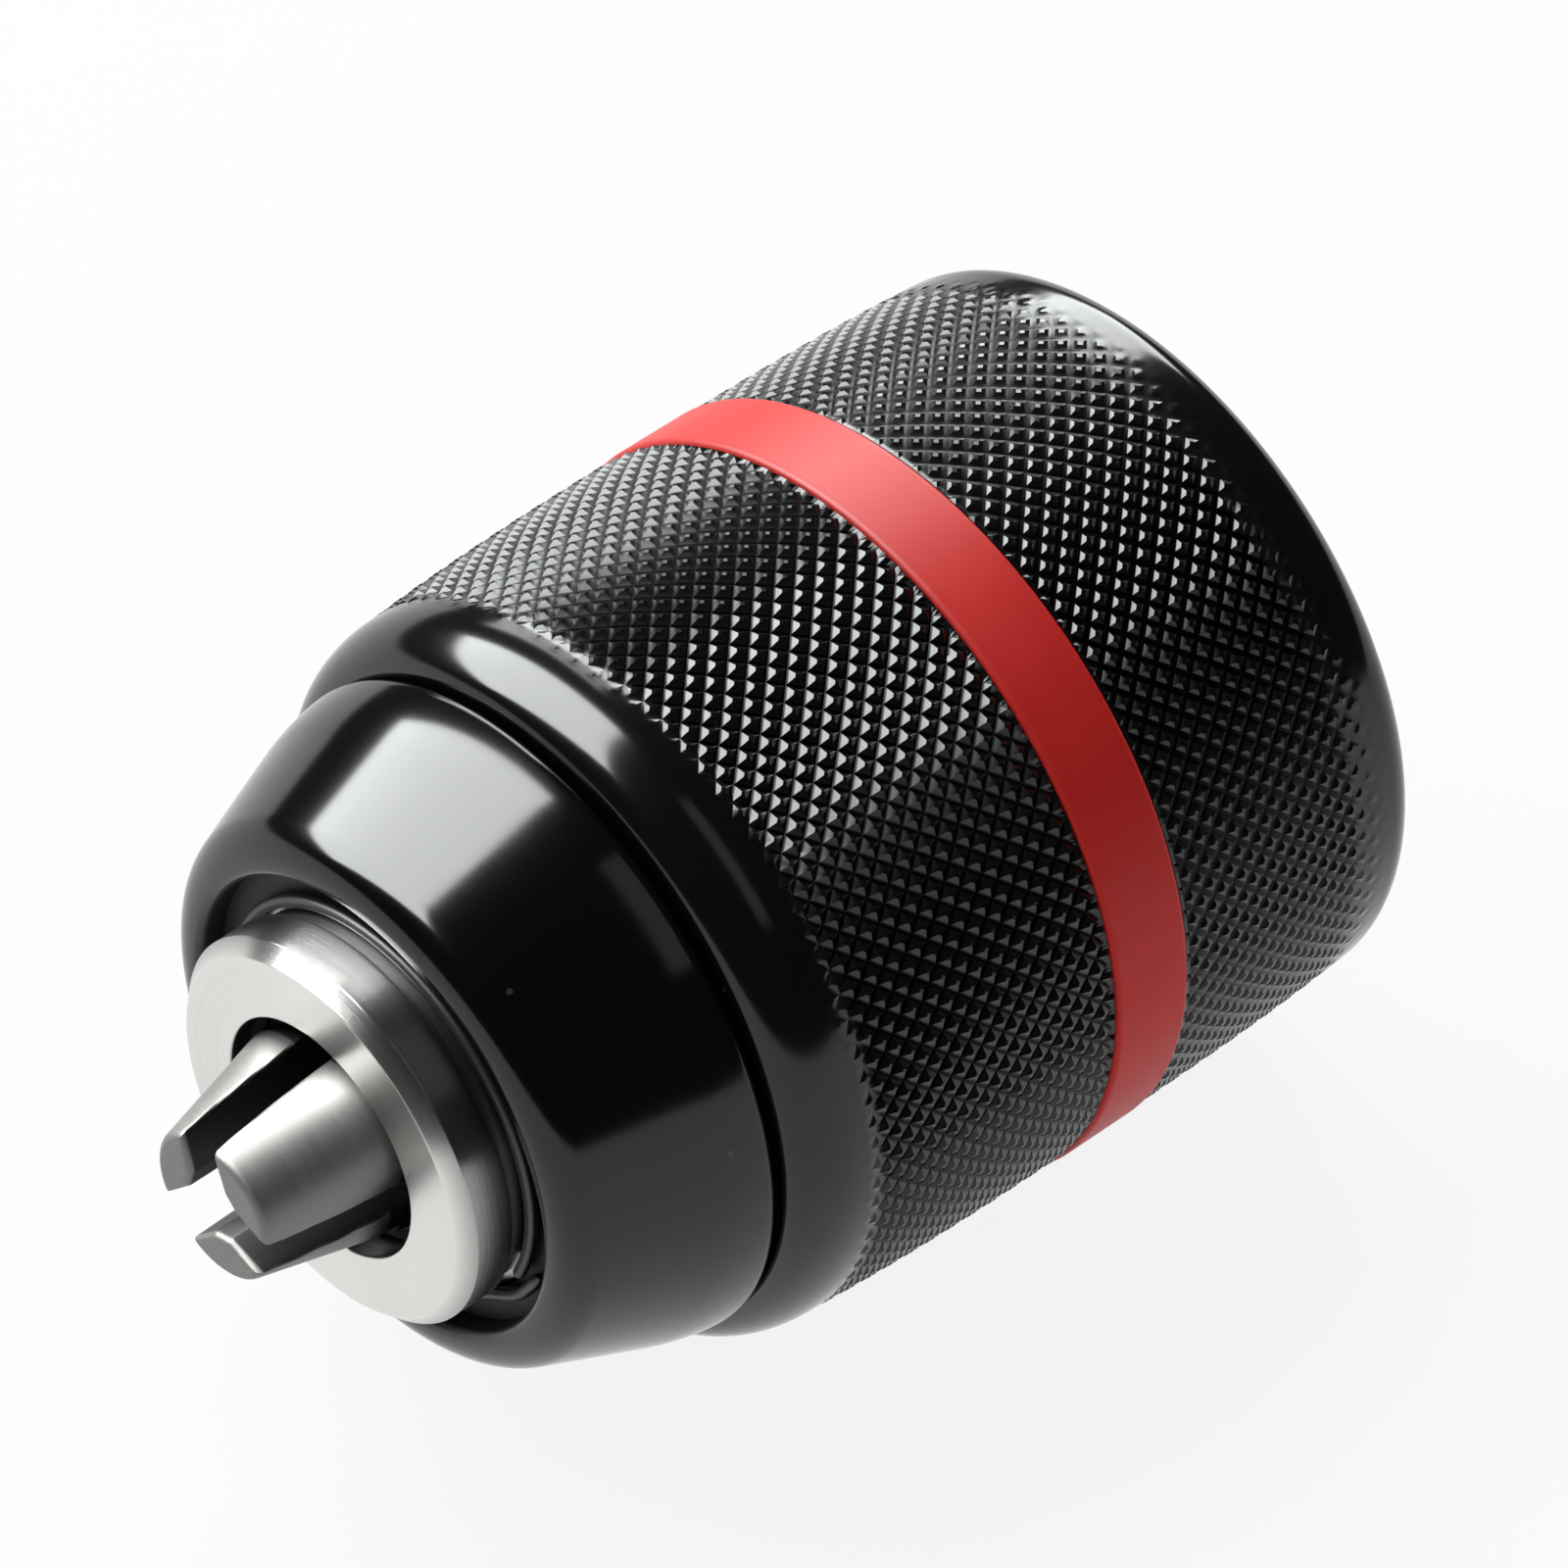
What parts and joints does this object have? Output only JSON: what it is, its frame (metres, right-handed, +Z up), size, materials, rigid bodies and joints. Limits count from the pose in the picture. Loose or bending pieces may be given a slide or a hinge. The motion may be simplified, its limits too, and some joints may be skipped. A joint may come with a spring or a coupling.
{
  "type": "keyless drill chuck",
  "caption": "Keyless drill chuck with a knurled black sleeve, a red ring, a conical hood, and steel jaws that a threaded nut slides along slanted passages to grip a bit.",
  "frame": {"origin": "on the floor, under the middle of the chuck's length as it lies on its side", "axes": "Y along the chuck's axis with the nose towards -Y and the spindle seat towards +Y, +Z up"},
  "size_m": [0.043, 0.0648, 0.0429],
  "materials": {
    "body_steel": "turned, bright",
    "jaw_steel": "ground, satin",
    "nut_steel": "machined",
    "bearing_steel": "polished",
    "cage_brass": "stamped",
    "sleeve_black": "black, knurled, semi-gloss",
    "ring_red": "semi-matt",
    "hood_black": "black, glossy",
    "spring_steel": "oiled",
    "cover_steel": "pressed"
  },
  "bodies": {
    "body": {"chuck_body": "body_steel", "hood": "hood_black", "snap_ring": "spring_steel", "rear_cover": "cover_steel", "rear_washer": "bearing_steel"},
    "sleeve": {"sleeve": "sleeve_black", "colour_ring": "ring_red", "nut_half_1": "nut_steel", "nut_half_2": "nut_steel", "nut_ring": "nut_steel", "front_washer": "bearing_steel"},
    "jaw_1": {"jaw_1": "jaw_steel"},
    "jaw_2": {"jaw_2": "jaw_steel"},
    "jaw_3": {"jaw_3": "jaw_steel"},
    "bearing": {"ball_cage": "cage_brass", "ball_01": "bearing_steel", "ball_02": "bearing_steel", "ball_03": "bearing_steel", "ball_04": "bearing_steel", "ball_05": "bearing_steel", "ball_06": "bearing_steel", "ball_07": "bearing_steel", "ball_08": "bearing_steel", "ball_09": "bearing_steel", "ball_10": "bearing_steel", "ball_11": "bearing_steel", "ball_12": "bearing_steel", "ball_13": "bearing_steel", "ball_14": "bearing_steel", "ball_15": "bearing_steel", "ball_16": "bearing_steel"}
  },
  "joints": [
    {"name": "sleeve_turn", "type": "hinge", "parent": "body", "child": "sleeve", "pos_m": [0, 0, 0.02143], "axis": [0, -1, 0], "range_deg": [-765, 3233]},
    {"name": "jaw_1_slide", "type": "slide", "parent": "body", "child": "jaw_1", "axis": [-0.183, -0.9659, -0.183], "range_m": [-0.01797, 0.00426]},
    {"name": "jaw_2_slide", "type": "slide", "parent": "body", "child": "jaw_2", "axis": [0.25, -0.9659, -0.067], "range_m": [-0.01797, 0.00426]},
    {"name": "jaw_3_slide", "type": "slide", "parent": "body", "child": "jaw_3", "axis": [-0.067, -0.9659, 0.25], "range_m": [-0.01797, 0.00426]},
    {"name": "bearing_orbit", "type": "hinge", "parent": "body", "child": "bearing", "pos_m": [0, 0, 0.02143], "axis": [0, -1, 0], "range_deg": [-383, 1617]}
  ],
  "couplings": [
    {"joint": "jaw_1_slide", "follows": "sleeve_turn", "m_per_rad": -0.00031831},
    {"joint": "jaw_2_slide", "follows": "sleeve_turn", "m_per_rad": -0.00031831},
    {"joint": "jaw_3_slide", "follows": "sleeve_turn", "m_per_rad": -0.00031831},
    {"joint": "bearing_orbit", "follows": "sleeve_turn", "ratio": 0.5}
  ]
}
